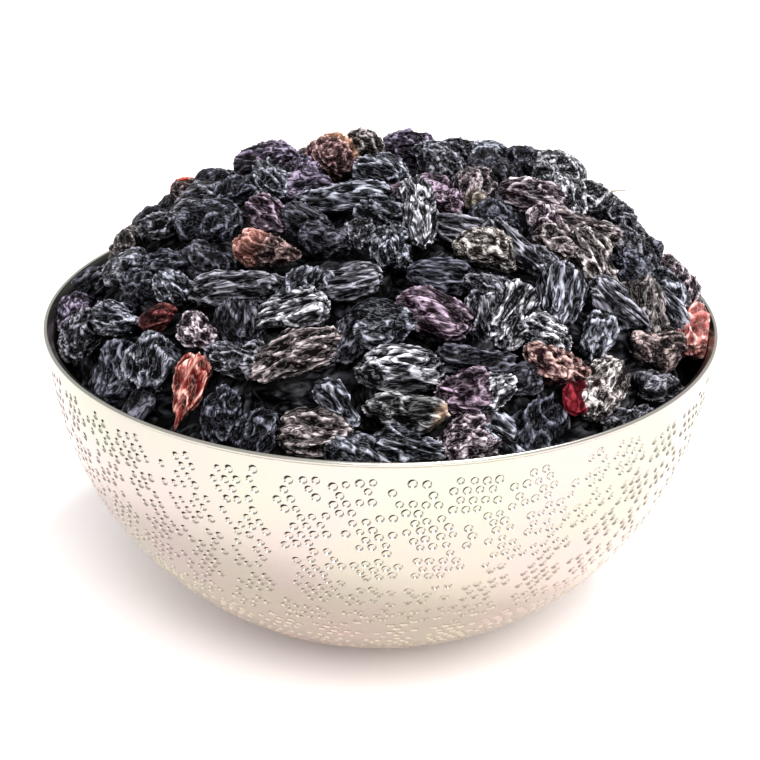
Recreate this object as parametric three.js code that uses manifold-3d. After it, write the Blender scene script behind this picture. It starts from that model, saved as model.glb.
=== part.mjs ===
// A bowl heaped with black raisins. Millimetres, +Z up.
// The origin is the middle of the underside of the bowl's flat foot. -Y is the side the bowl is
// seen from, and +X is to the right from there.

import * as THREE from 'three';
import { mergeVertices } from 'three/addons/utils/BufferGeometryUtils.js';
import Module from 'manifold-3d';

// The bowl: a thin spun shell on a superellipse, cut off flat at the foot, with a rolled rim.
const RIM_RADIUS = 63.5;
const BOWL_HEIGHT = 62;
const FOOT_RADIUS = 20;
const WALL = 1.2;
const ROUNDNESS = 2.1;
const BEAD_RADIUS = 0.6;
const BEAD_OVERHANG = 0.35;
const BEAD_START = -Math.PI / 3;
const BEAD_END = Math.PI;
const BOWL_SEGMENTS = 60;
const WALL_STEPS = 10;
const WALL_CROWDING = 1.6;
const BEAD_STEPS = 5;

// The heap's skin: an invisible dome that the outermost raisins touch from below.
const CROWN_X = 5;
const CROWN_HEIGHT = 24;
const EDGE_HEIGHT = 0.5;
const EDGE_TILT = 3.5;
const EDGE_SLANT = 1;
const EDGE_RADIUS = 62;
const SHOULDER = 4;
const FLANK = 1.25;
const SLOPE_STEP = 3;

// A raisin: a blunt egg, flatter than wide, with two soft swellings that wind along it.
const THINNESS = 0.82;
const TAPER_SLIMMING = 0.4;
const BLUNTNESS = 0.85;
const PLUMPNESS = 1.05;
const OVAL_SWELL = 0.1;
const LOBE_SWELL = 0.07;
const SWELL_WINDING = 2;
const SIDES_SHOWN = 6;
const SIDES_FAR = 5;
const RINGS = 3;

// Clearances
const SEAT_GAP = 0.3;
const WALL_GAP = 0.45;

// The raisins under the outer layer, taken together as one plain body.
const CORE_DEPTH = 4.2;
const CORE_SEGMENTS = 32;
const CORE_TOP_STEPS = 5;
const CORE_WALL_STEPS = 6;
const CORE_EDGE_DROP = 7.7;

// The raisins that don't show from the front, spread by a golden-angle spiral.
const SPIRAL_COUNT = 230;
const SPIRAL_REACH = 61;
const SPIRAL_WOBBLE = 3;
const SPIRAL_SPACING = 0.72;
const GOLDEN_ANGLE = Math.PI * (3 - Math.sqrt(5));
const FAR_LENGTHS = [11, 15];
const FAR_WIDTHS = [8, 10];
const FAR_RISES = [-1, 0.5];
const FAR_TAPER = 0.12;

// Colours and finish
const BOWL_COLOUR = 0xd9cdb6;
const BOWL_ROUGHNESS = 0.35;
const RAISIN_COLOUR = 0x1d1b20;
const RAISIN_ROUGHNESS = 0.55;

const WELD_DISTANCE = 0.001;

// The raisins that show from the front, part of the heap by part. Each row holds the place in plan
// x and y, the length, the width, the heading in degrees from +X, the rise above the skin, and the
// taper, which is above 0 where the raisin narrows towards its heading.
const CROWN_RAISINS = [
  [-24, 26, 18, 9, -45, 1.8, 0.2],
  [-22, 11, 14, 10, -70, 0.5, 0.1],
  [-21, -6, 12, 8, -45, 0, 0.25],
  [-4, 27, 8, 6.5, -20, 1.5, 0.1],
  [0, 14, 13, 8, -45, 0, 0.15],
  [5, 31, 10, 8.5, 0, 1.2, 0],
  [12, 19, 11, 10, -40, -0.3, 0],
  [10, 30, 9, 7, 10, 0, 0],
  [22, 30, 11, 8, 10, 0.3, 0],
  [18, 5, 12, 8, -105, 0, -0.1],
  [12, -2, 7, 6, 30, -0.5, 0],
  [28, 0, 14, 7, 175, 0, 0.25],
  [35.5, 18, 15, 11.5, 110, 4, 0],
  [-7, -2, 18, 6.5, 10, 0.5, -0.2],
  [-10, -18, 10, 8, -25, 0, 0],
  [-4, -18, 8, 6, 85, 0, 0],
  [2, -22, 11, 8, 85, 0, 0.1],
  [7, -16, 19, 6, -90, 1, 0.35],
  [14, -15, 11, 7, -20, -0.5, 0.1],
  [-14, -11, 12, 7, -50, 0, 0.1],
  [29, 23, 10, 7.5, 70, 2, 0],
  [16, 31, 9, 7, 0, -0.5, 0],
  [6.5, -4, 12, 6, -88, 1.5, -0.1],
];

const LEFT_RAISINS = [
  [-35, 20, 8, 6.5, 30, 1, 0],
  [-29, 6, 8, 6.5, 60, 0, 0],
  [-49, 17, 11, 6.5, -30, 1.5, 0.2],
  [-44, 5, 10, 7.5, -40, 0.5, 0.1],
  [-52, 13, 9, 6.5, -40, 1, 0.1],
  [-34, -3, 13, 11, -40, 0.5, 0],
  [-50, -4, 13, 7.5, -30, 0, -0.15],
  [-58, 5, 10, 7, 0, 0, 0],
  [-40, -14, 11, 8, -30, -1, 0.1],
  [-45, -16, 12, 7, -40, -1, 0.1],
  [-25, -30, 19, 7, -10, 0, 0.25],
  [-50, -20, 14, 7, -35, 0, 0.3],
  [-57, -15, 10, 9, 55, -0.5, 0],
  [-32, -36, 8, 6, -60, 0, 0.15],
  [-24, -37, 9, 8, 85, -0.5, 0],
  [-41, -36, 11.5, 9.5, 65, 0.5, 0.1],
  [-48, -32, 10, 8, 55, -0.5, 0.15],
  [-43, -42, 9, 5.5, 45, -1, 0.2],
  [-24, -43, 12, 6, -20, -0.5, 0.1],
  [-27, -50, 10, 7, 75, 0, 0.1],
  [-20, -54, 8.5, 6, 60, -0.5, 0.1],
  [-32, -18, 14, 7, -45, -1, 0],
  [-38, -24, 8, 6, -60, 0, 0.3],
];

const FRONT_RAISINS = [
  [-14, -32, 10, 8, 60, 0, -0.2],
  [-16, -39, 13, 6.5, 10, 0.5, -0.35],
  [-14, -46, 17.5, 8, 20, 0.5, -0.3],
  [-7, -32, 13, 7, 8, -0.5, 0],
  [0, -42, 11, 8, 0, 0, 0.1],
  [3.5, -49, 15, 8, 3, 0, -0.1],
  [-7, -53, 9, 4.5, -60, -0.5, 0.3],
  [4, -54, 13, 6, 0, -0.5, -0.25],
  [5, -58, 11.5, 6.5, -12, -0.5, 0.25],
  [-11, -56, 13, 8, -8, 0, 0.1],
  [14, -51, 9.5, 7.5, 5, 0, 0],
  [19, -50, 7.5, 6.5, 45, 0, 0],
  [16, -46, 13, 6, 5, -1, 0.1],
  [15, -56, 12, 8.5, 30, 0, 0],
  [8.5, -40, 14, 8.5, -14, 0, -0.2],
  [19, -22, 12, 8, -30, 0, 0.1],
  [10, -30, 11, 7, -5, -1, 0],
  [18, -33, 9, 7, -30, -0.5, 0.1],
  [17.5, -39, 9, 6.5, -80, -0.5, 0.1],
  [22, -38, 13, 9.5, 75, 0.5, 0],
  [-6, -44, 8, 5.5, 65, -1, 0],
];

const RIGHT_RAISINS = [
  [24, -21, 15, 5.5, -57, 0, 0.2],
  [29, -24, 7, 5.5, -30, -0.5, 0],
  [31, -11, 11, 6, -75, 0, 0.15],
  [42, 11, 9, 7, 60, 1.5, 0],
  [48, 12, 8, 6.5, 40, 1, 0],
  [38, -8, 15, 7, 15, 0, 0.1],
  [39, -18, 13, 6.5, -40, 0, 0.25],
  [32, -31, 16, 8, 93, 0.5, -0.1],
  [38, -34, 10.5, 5.5, 93, -0.5, -0.2],
  [43, -26, 14, 7, -20, 0, 0.15],
  [54, 7, 9, 7, 50, 1, 0],
  [59, 6, 9, 7, 80, 2.5, 0],
  [48, -11, 10, 7.5, 10, 0, 0.1],
  [56, -7, 10.5, 8, -50, 1, 0],
  [38.5, -42, 12.5, 9, 85, 0, 0],
  [50, -34, 11, 5.5, 25, -0.5, 0.1],
  [43, -43, 12, 6, 25, -1, 0],
  [27, -51, 11, 7, 95, -0.5, 0.15],
  [24, -47, 8, 6, 35, -1, 0],
  [22, -55, 10, 6, -35, -0.5, 0.15],
  [28, -40, 9, 6, 0, 0, 0],
  [32, -16, 9, 6, -30, -0.5, 0.1],
  [36, 1.5, 13, 6, 100, 1.5, 0],
  [60, -3, 8, 6.5, 95, 3.5, 0],
];

// The redder raisins, which each lie in a hollow that their neighbours leave.
const COLOURED_RAISINS = {
  raisin_scarlet: { colour: 0xa83226, row: [-32.5, -46, 12.5, 5.6, -120, 1, 0.5] },
  raisin_rust: { colour: 0x5a2c20, row: [-40, -29.5, 8, 5.5, 15, 0, 0] },
  raisin_red_topped: { colour: 0x6e3a3c, row: [-20, -22, 13, 7, 155, 0.5, -0.3] },
  raisin_red_tipped: { colour: 0x6b2a2a, row: [-40, 20, 10, 7, 105, 1.5, 0] },
  raisin_amber_topped: { colour: 0x8a5340, row: [-10, 23, 11, 9.5, 60, 1.5, 0] },
  raisin_pink: { colour: 0xa04f4c, row: [60, -12.5, 13.5, 9, 75, 2.5, 0] },
  raisin_grey_pink: { colour: 0x6d5556, row: [51, -27, 15, 8.5, 25, 0.5, -0.1] },
  raisin_brown_red: { colour: 0x5e3234, row: [30, -43, 12, 6, -8, 0, 0.15] },
  raisin_crimson: { colour: 0x8a1f2c, row: [33, -46.5, 7, 4.5, 95, 0, 0.1] },
};

const wasm = await Module();
wasm.setup();

/** A repeatable number from 0 to 1 for a whole number and a use of it. */
function chance(index, use) {
  const value = Math.sin(index * 12.9898 + use * 78.233) * 43758.5453;
  return value - Math.floor(value);
}

/** The number a share of the way from a range's first to its second. */
function between(range, share) {
  return range[0] + (range[1] - range[0]) * share;
}

/** The superellipse that the wall follows: the radius at a height, `inset` in from the outside. */
function wallRadius(height, inset) {
  const depth = (BOWL_HEIGHT - height) / (fullDepth() - inset);
  const rest = Math.max(0, 1 - Math.max(0, depth) ** ROUNDNESS);
  return (RIM_RADIUS - inset) * rest ** (1 / ROUNDNESS);
}

/** How far down the curve would reach if it weren't cut off by the flat foot. */
function fullDepth() {
  const cut = (FOOT_RADIUS / RIM_RADIUS) ** ROUNDNESS;
  return BOWL_HEIGHT / (1 - cut) ** (1 / ROUNDNESS);
}

/** Points up the wall from the foot to the rim, closer together where the wall bends more. */
function wallProfile(inset, floor, top, steps) {
  const points = [];
  for (let i = 0; i <= steps; i += 1) {
    const height = floor + (top - floor) * (i / steps) ** WALL_CROWDING;
    points.push(new THREE.Vector2(wallRadius(height, inset), height));
  }
  return points;
}

/** A thin spun bowl: a flat foot, a curved wall and a rolled bead round the rim. */
function bowlGeometry() {
  const beadCentre = new THREE.Vector2(
    RIM_RADIUS + BEAD_OVERHANG - BEAD_RADIUS,
    BOWL_HEIGHT - BEAD_RADIUS,
  );
  const beadFoot = beadCentre.y - BEAD_RADIUS;
  const profile = [new THREE.Vector2(0, 0)];
  profile.push(...wallProfile(0, 0, beadFoot, WALL_STEPS));
  for (let i = 0; i <= BEAD_STEPS; i += 1) {
    const angle = BEAD_START + (BEAD_END - BEAD_START) * i / BEAD_STEPS;
    profile.push(new THREE.Vector2(
      beadCentre.x + BEAD_RADIUS * Math.cos(angle),
      beadCentre.y + BEAD_RADIUS * Math.sin(angle),
    ));
  }
  profile.push(...wallProfile(WALL, WALL, beadFoot, WALL_STEPS).reverse());
  profile.push(new THREE.Vector2(0, WALL));
  return upright(new THREE.LatheGeometry(profile, BOWL_SEGMENTS));
}

/** A lathe turns about Y, so its result is stood on +Z. */
function upright(geometry) {
  geometry.rotateX(Math.PI / 2);
  return geometry;
}

/** 0 at the crown of the heap and 1 at its edge, on circles that shrink towards the crown. */
function heapRatio(x, y) {
  const fromCrown = x - CROWN_X;
  const square = EDGE_RADIUS ** 2 - CROWN_X ** 2;
  const slant = 2 * fromCrown * CROWN_X;
  const apart = fromCrown ** 2 + y ** 2;
  return Math.min(1, (slant + Math.sqrt(slant ** 2 + 4 * square * apart)) / (2 * square));
}

/** The height of the heap's skin: a broad dome that falls away faster towards the rim. */
function heapTop(x, y) {
  const edge = BOWL_HEIGHT + EDGE_HEIGHT + (EDGE_TILT * y + EDGE_SLANT * x) / EDGE_RADIUS;
  return edge + CROWN_HEIGHT * (1 - heapRatio(x, y) ** SHOULDER) ** FLANK;
}

/** The upright of the heap's skin at a place. */
function heapNormal(x, y) {
  const slopeX = (heapTop(x + SLOPE_STEP, y) - heapTop(x - SLOPE_STEP, y)) / (2 * SLOPE_STEP);
  const slopeY = (heapTop(x, y + SLOPE_STEP) - heapTop(x, y - SLOPE_STEP)) / (2 * SLOPE_STEP);
  return new THREE.Vector3(-slopeX, -slopeY, 1).normalize();
}

/** Keeps a point inside the bowl's wall, and inside the rim above it. */
function insideWall(point) {
  const room = wallRadius(Math.min(point.z, BOWL_HEIGHT), WALL) - WALL_GAP;
  const reach = Math.hypot(point.x, point.y);
  if (reach > room) {
    point.x *= room / reach;
    point.y *= room / reach;
  }
  return point;
}

/** A raisin: an egg with soft swellings, lying on the heap's skin, `grow` larger all round. */
function raisinGeometry(row, index, sides, grow = 0) {
  const [x, y, length, width, heading, rise, taper] = row;
  const thickness = width * THINNESS;
  const normal = heapNormal(x, y);
  const turn = THREE.MathUtils.degToRad(heading);
  const along = new THREE.Vector3(Math.cos(turn), Math.sin(turn), 0);
  along.addScaledVector(normal, -along.dot(normal)).normalize();
  const across = new THREE.Vector3().crossVectors(along, normal);
  const centre = new THREE.Vector3(x, y, heapTop(x, y) + rise);
  centre.addScaledVector(normal, -thickness / 2);

  const ovalPhase = 2 * Math.PI * chance(index, 1);
  const lobePhase = 2 * Math.PI * chance(index, 2);
  const geometry = new THREE.SphereGeometry(1, sides, RINGS + 1);
  const places = geometry.attributes.position;
  for (let i = 0; i < places.count; i += 1) {
    const tip = places.getY(i);
    const round = Math.atan2(places.getZ(i), places.getX(i));
    const girth = Math.hypot(places.getX(i), places.getZ(i));
    const winding = SWELL_WINDING * tip;
    const swell = 1 + OVAL_SWELL * Math.cos(2 * round + ovalPhase + winding)
      + LOBE_SWELL * Math.cos(3 * round + lobePhase - winding);
    const narrowing = (1 - taper * tip) / (1 + TAPER_SLIMMING * taper ** 2);
    const spread = PLUMPNESS * girth ** BLUNTNESS * swell * narrowing;
    const point = centre.clone();
    point.addScaledVector(along, tip * (length / 2 + grow));
    point.addScaledVector(across, Math.cos(round) * spread * (width / 2 + grow));
    point.addScaledVector(normal, Math.sin(round) * spread * (thickness / 2 + grow));
    insideWall(point);
    places.setXYZ(i, point.x, point.y, point.z);
  }
  return geometry;
}

/** The raisins that fill the bowl under the outer layer, as one plain body. */
function coreGeometry() {
  const profile = [new THREE.Vector2(0, 0)];
  for (let i = 1; i <= CORE_TOP_STEPS; i += 1) {
    profile.push(new THREE.Vector2(EDGE_RADIUS * i / CORE_TOP_STEPS, 0));
  }
  const inset = WALL + WALL_GAP;
  const edge = BOWL_HEIGHT - CORE_EDGE_DROP;
  profile.push(...wallProfile(inset, inset, edge, CORE_WALL_STEPS).reverse());
  profile.push(new THREE.Vector2(0, inset));
  const geometry = upright(new THREE.LatheGeometry(profile.reverse(), CORE_SEGMENTS));
  const places = geometry.attributes.position;
  const point = new THREE.Vector3();
  for (let i = 0; i < places.count; i += 1) {
    point.fromBufferAttribute(places, i);
    if (Math.abs(point.z) < WELD_DISTANCE) {
      const ratio = Math.hypot(point.x, point.y) / EDGE_RADIUS;
      point.x += CROWN_X * (1 - ratio);
      point.z = heapTop(point.x, point.y);
      point.addScaledVector(heapNormal(point.x, point.y), -CORE_DEPTH);
      insideWall(point);
      places.setXYZ(i, point.x, point.y, point.z);
    }
  }
  return geometry;
}

/** Raisins for the far side and the gaps: a spiral's points that lie clear of the listed ones. */
function spiralRaisins(taken) {
  const rows = [];
  for (let i = 0; i < SPIRAL_COUNT; i += 1) {
    const reach = SPIRAL_REACH * Math.sqrt((i + 0.5) / SPIRAL_COUNT);
    const angle = i * GOLDEN_ANGLE;
    const x = reach * Math.cos(angle) + SPIRAL_WOBBLE * (chance(i, 3) - 0.5);
    const y = reach * Math.sin(angle) + SPIRAL_WOBBLE * (chance(i, 4) - 0.5);
    const length = between(FAR_LENGTHS, chance(i, 5));
    const width = between(FAR_WIDTHS, chance(i, 6));
    const clear = [...taken, ...rows].every((other) => {
      const room = SPIRAL_SPACING * (length + width + other[2] + other[3]) / 4;
      const drop = heapTop(x, y) - heapTop(other[0], other[1]);
      return Math.hypot(x - other[0], y - other[1], drop) > room;
    });
    if (clear) {
      const rise = between(FAR_RISES, chance(i, 8));
      rows.push([x, y, length, width, 360 * chance(i, 7), rise, FAR_TAPER]);
    }
  }
  return rows;
}

/** A geometry as a solid that can be joined and cut. */
function toSolid(geometry) {
  const bare = geometry.clone();
  bare.deleteAttribute('normal');
  bare.deleteAttribute('uv');
  const merged = mergeVertices(bare, WELD_DISTANCE);
  return new wasm.Manifold(new wasm.Mesh({
    numProp: 3,
    vertProperties: new Float32Array(merged.attributes.position.array),
    triVerts: new Uint32Array(merged.index.array),
  }));
}

/** The largest body of a solid as a geometry, without loose scraps. */
function toGeometry(solid) {
  const bodies = solid.decompose().sort((a, b) => b.volume() - a.volume());
  const mesh = bodies[0].getMesh();
  const geometry = new THREE.BufferGeometry();
  geometry.setAttribute('position', new THREE.BufferAttribute(mesh.vertProperties, 3));
  geometry.setIndex(new THREE.BufferAttribute(mesh.triVerts, 1));
  geometry.computeVertexNormals();
  return geometry;
}

/** The semi-matte skin of a dried grape. */
function skinFinish(colour) {
  return { color: colour, roughness: RAISIN_ROUGHNESS, metalness: 0 };
}

/** One named sub-part in the group. */
function addPart(group, name, geometry, finish) {
  const mesh = new THREE.Mesh(geometry, new THREE.MeshStandardMaterial(finish));
  mesh.name = name;
  group.add(mesh);
}

/** Every black raisin joined to those below, with hollows left for the redder ones. */
function addRaisins(group) {
  const listed = [...CROWN_RAISINS, ...LEFT_RAISINS, ...FRONT_RAISINS, ...RIGHT_RAISINS];
  const coloured = Object.entries(COLOURED_RAISINS);
  const colouredRows = coloured.map(([, raisin]) => raisin.row);
  const rows = [...listed, ...spiralRaisins([...listed, ...colouredRows])];
  let heap = toSolid(coreGeometry());
  rows.forEach((row, index) => {
    const sides = index < listed.length ? SIDES_SHOWN : SIDES_FAR;
    heap = heap.add(toSolid(raisinGeometry(row, index, sides)));
  });
  let hollows = null;
  coloured.forEach(([name, raisin], index) => {
    const seed = rows.length + index;
    let solid = toSolid(raisinGeometry(raisin.row, seed, SIDES_SHOWN));
    if (hollows) {
      solid = solid.subtract(hollows);
    }
    const hollow = toSolid(raisinGeometry(raisin.row, seed, SIDES_SHOWN, SEAT_GAP));
    heap = heap.subtract(hollow);
    hollows = hollows ? hollows.add(hollow) : hollow;
    addPart(group, name, toGeometry(solid), skinFinish(raisin.colour));
  });
  addPart(group, 'raisins_black', toGeometry(heap), skinFinish(RAISIN_COLOUR));
}

const bowlFinish = { color: BOWL_COLOUR, roughness: BOWL_ROUGHNESS, metalness: 1 };
const bowlOfRaisins = new THREE.Group();
addPart(bowlOfRaisins, 'bowl', bowlGeometry(), bowlFinish);
addRaisins(bowlOfRaisins);

export default bowlOfRaisins;
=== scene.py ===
import math
import bpy
import numpy as np
from mathutils import Matrix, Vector
from mathutils.geometry import delaunay_2d_cdt


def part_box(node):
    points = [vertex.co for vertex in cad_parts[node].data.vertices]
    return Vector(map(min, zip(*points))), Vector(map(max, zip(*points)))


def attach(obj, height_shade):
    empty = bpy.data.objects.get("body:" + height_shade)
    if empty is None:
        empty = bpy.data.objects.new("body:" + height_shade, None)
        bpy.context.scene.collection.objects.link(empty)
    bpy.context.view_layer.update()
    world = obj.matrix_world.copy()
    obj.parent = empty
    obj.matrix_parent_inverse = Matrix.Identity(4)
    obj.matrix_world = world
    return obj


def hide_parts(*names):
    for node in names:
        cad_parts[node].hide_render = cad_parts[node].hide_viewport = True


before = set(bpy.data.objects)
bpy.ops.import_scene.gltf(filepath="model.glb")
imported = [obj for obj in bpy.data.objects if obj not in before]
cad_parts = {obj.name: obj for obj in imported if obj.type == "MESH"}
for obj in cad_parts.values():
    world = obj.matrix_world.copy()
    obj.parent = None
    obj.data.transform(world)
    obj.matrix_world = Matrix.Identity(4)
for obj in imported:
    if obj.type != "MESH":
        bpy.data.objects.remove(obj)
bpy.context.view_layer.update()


# The view
# The bowl is seen from in front and a little above, through a long lens, with the heap's far
# side just hidden. The camera leans a fraction of a degree, so the rim drops to the right.
CAMERA_PLACE = (0.0, -0.2619, 0.1709)
LOOK_DOWN_DEG = 25.53
LEAN_DEG = 0.77
LENS_MM = 69.5
SENSOR_MM = 36.0

camera_data = bpy.data.cameras.new("view")
camera_data.lens = LENS_MM
camera_data.sensor_width = SENSOR_MM
camera = bpy.data.objects.new("view", camera_data)
camera.matrix_world = (
    Matrix.Translation(CAMERA_PLACE)
    @ Matrix.Rotation(math.radians(90 - LOOK_DOWN_DEG), 4, "X")
    @ Matrix.Rotation(math.radians(LEAN_DEG), 4, "Z")
)
bpy.context.collection.objects.link(camera)
bpy.context.scene.camera = camera


# The bowl
# One sheet of thin pale metal, spun to a deep round with a flattened underside and a rolled rim.
# Clusters of small round dots are punched into its outside, all but a plain band under the rim.
WALL = 0.0012
ROUNDNESS = 2.1
FOOT_RADIUS = 0.020
BEAD_RADIUS = 0.00042
BEAD_OVERHANG = 0.00035
BEAD_ANGLES_DEG = (-60, 180)
BEAD_STEPS = 10
INNER_STEPS = 18
AROUND_RIM = 240

DOT_RADIUS = 0.00078
DOT_RADIUS_SPREAD = 0.13
DOT_DEPTH = 0.00027
DOT_SIDES = 10
DOT_FLOOR = 0.76
DOT_EDGE_SHARE = 0.9
DOT_ROOM = 0.00178
# The dots' floors carry painted shade: a crescent that leans with the azimuth and is fainter towards
# +X, where the light is stronger.
DOT_LEAN_DEG = (30, 25)
DOT_SHADE = (0.86, -0.32)
DOT_PITCH = 0.0021
ROW_PITCH_SHARE = 0.87
DOT_JITTER = 0.00012
DOT_KEPT = 0.96
DOT_SLANT = 0.22
SLANT_SHARES = (1.0, 0.6, -0.4)
CLUSTER_COLUMNS = 4
CLUSTER_ROWS = 4
CLUSTER_CORNER = 0.5
CLUSTER_WIDTH = 0.0100
CLUSTER_HEIGHT = 0.0071
CLUSTER_JITTER = 0.05
PLAIN_BAND = 0.0024
FOOT_MARGIN = 0.002
FILL_STEP = 0.0019
FOOT_RINGS = (0.004, 0.008, 0.012, 0.016, 0.0194, 0.0204)
SEAM = 0.00035
# The seam ring under the bead gets this much painted shade, a dark line all round.
SEAM_SHADE = 0.7

bowl_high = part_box("bowl")[1]
bowl_height = float(bowl_high[2])
rim_radius = float(bowl_high[0]) - BEAD_OVERHANG
full_depth = bowl_height / (1 - (FOOT_RADIUS / rim_radius) ** ROUNDNESS) ** (1 / ROUNDNESS)
bead_foot = bowl_height - 2 * BEAD_RADIUS


def wall_radius(height, inset):
    """The wall's superellipse: radius = reach * (1 - (depth / full depth) ^ n) ^ (1 / n)."""
    depth = np.clip((bowl_height - height) / (full_depth - inset), 0, 1)
    return (rim_radius - inset) * (1 - depth ** ROUNDNESS) ** (1 / ROUNDNESS)


def wall_heights(low, high, steps):
    """Heights that crowd towards the foot, where the wall bends most: low + span * share ^ 1.6."""
    return low + (high - low) * np.linspace(0, 1, steps + 1) ** 1.6


def outside_profile():
    """Radius, height and distance along the outside, from the middle of the foot to the bead."""
    heights = wall_heights(0.0, bead_foot, 400)
    radii = np.concatenate([[0.0], wall_radius(heights, 0.0)])
    heights = np.concatenate([[0.0], heights])
    steps = np.hypot(np.diff(radii), np.diff(heights))
    return radii, heights, np.concatenate([[0.0], np.cumsum(steps)])


profile_radius, profile_height, profile_reach = outside_profile()
rim_reach = profile_reach[-1]


def on_outside(reach, azimuth, sink):
    """Points at a distance along the outside and an azimuth, sunk along the wall's own upright."""
    step = 0.0004
    radius = np.interp(reach, profile_reach, profile_radius)
    height = np.interp(reach, profile_reach, profile_height)
    run = np.interp(reach + step, profile_reach, profile_radius) - np.interp(
        reach - step, profile_reach, profile_radius)
    climb = np.interp(reach + step, profile_reach, profile_height) - np.interp(
        reach - step, profile_reach, profile_height)
    length = np.hypot(run, climb)
    radius = radius - sink * climb / length
    height = height + sink * run / length
    return np.stack([radius * np.cos(azimuth), radius * np.sin(azimuth), height], axis=-1)


def dot_centres():
    """Reach and azimuth of every dot: slanted clusters, in rows staggered at random.

    A cluster is a 4 by 4 grid whose corner dots are mostly left out. A dot that would run into
    one before it is left out too.
    """
    rng = np.random.default_rng(7)
    column, row = np.meshgrid(np.arange(CLUSTER_COLUMNS), np.arange(CLUSTER_ROWS))
    column = column.ravel() - (CLUSTER_COLUMNS - 1) / 2 + 0.5 * (row.ravel() % 2) - 0.25
    row = row.ravel() - (CLUSTER_ROWS - 1) / 2
    share_kept = np.where((np.abs(column) > 1) & (np.abs(row) > 1), CLUSTER_CORNER, 1) * DOT_KEPT
    reaches, azimuths = [], []
    rows = int((rim_reach - PLAIN_BAND - FOOT_RADIUS - FOOT_MARGIN) / CLUSTER_HEIGHT)
    for level in range(rows):
        middle = rim_reach - PLAIN_BAND - (level + 0.5) * CLUSTER_HEIGHT
        radius = np.interp(middle, profile_reach, profile_radius)
        count = int(round(2 * math.pi * radius / CLUSTER_WIDTH))
        turn = (np.arange(count) + rng.uniform(0, 1)) * 2 * math.pi / count
        turn = turn + rng.normal(0, CLUSTER_JITTER, count) * CLUSTER_WIDTH / radius
        across = DOT_PITCH * column[None, :] + rng.normal(0, DOT_JITTER, (count, column.size))
        slant = DOT_SLANT * rng.choice(SLANT_SHARES, (count, 1))
        up = ROW_PITCH_SHARE * DOT_PITCH * row[None, :] + slant * across
        up = up + rng.normal(0, DOT_JITTER, up.shape)
        kept = rng.uniform(0, 1, up.shape) < share_kept
        reaches.append((middle + up)[kept])
        azimuths.append((turn[:, None] + across / radius)[kept])
    reach, azimuth = np.concatenate(reaches), np.concatenate(azimuths)
    place = on_outside(reach, azimuth, 0.0)
    apart = np.linalg.norm(place[:, None] - place[None], axis=-1)
    clear = ~np.any(np.tril(apart < DOT_ROOM, -1), axis=1)
    return reach[clear], azimuth[clear]


def fill_points():
    """Plain points between the cluster rows, on the band under the rim and on the foot."""
    between = rim_reach - PLAIN_BAND - CLUSTER_HEIGHT * np.arange(
        int((rim_reach - PLAIN_BAND - FOOT_RADIUS) / CLUSTER_HEIGHT) + 1)
    band = np.linspace(rim_reach - PLAIN_BAND, rim_reach, 5)[1:-1]
    reaches = [[0.0], np.full(AROUND_RIM, rim_reach - SEAM)]
    azimuths = [[0.0], np.arange(AROUND_RIM) * 2 * math.pi / AROUND_RIM]
    for reach in np.concatenate([band, between, FOOT_RINGS]):
        radius = np.interp(reach, profile_reach, profile_radius)
        count = max(12, int(2 * math.pi * radius / FILL_STEP))
        reaches.append(np.full(count, reach))
        azimuths.append(np.arange(count) * 2 * math.pi / count)
    return np.concatenate(reaches), np.concatenate(azimuths)


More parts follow.
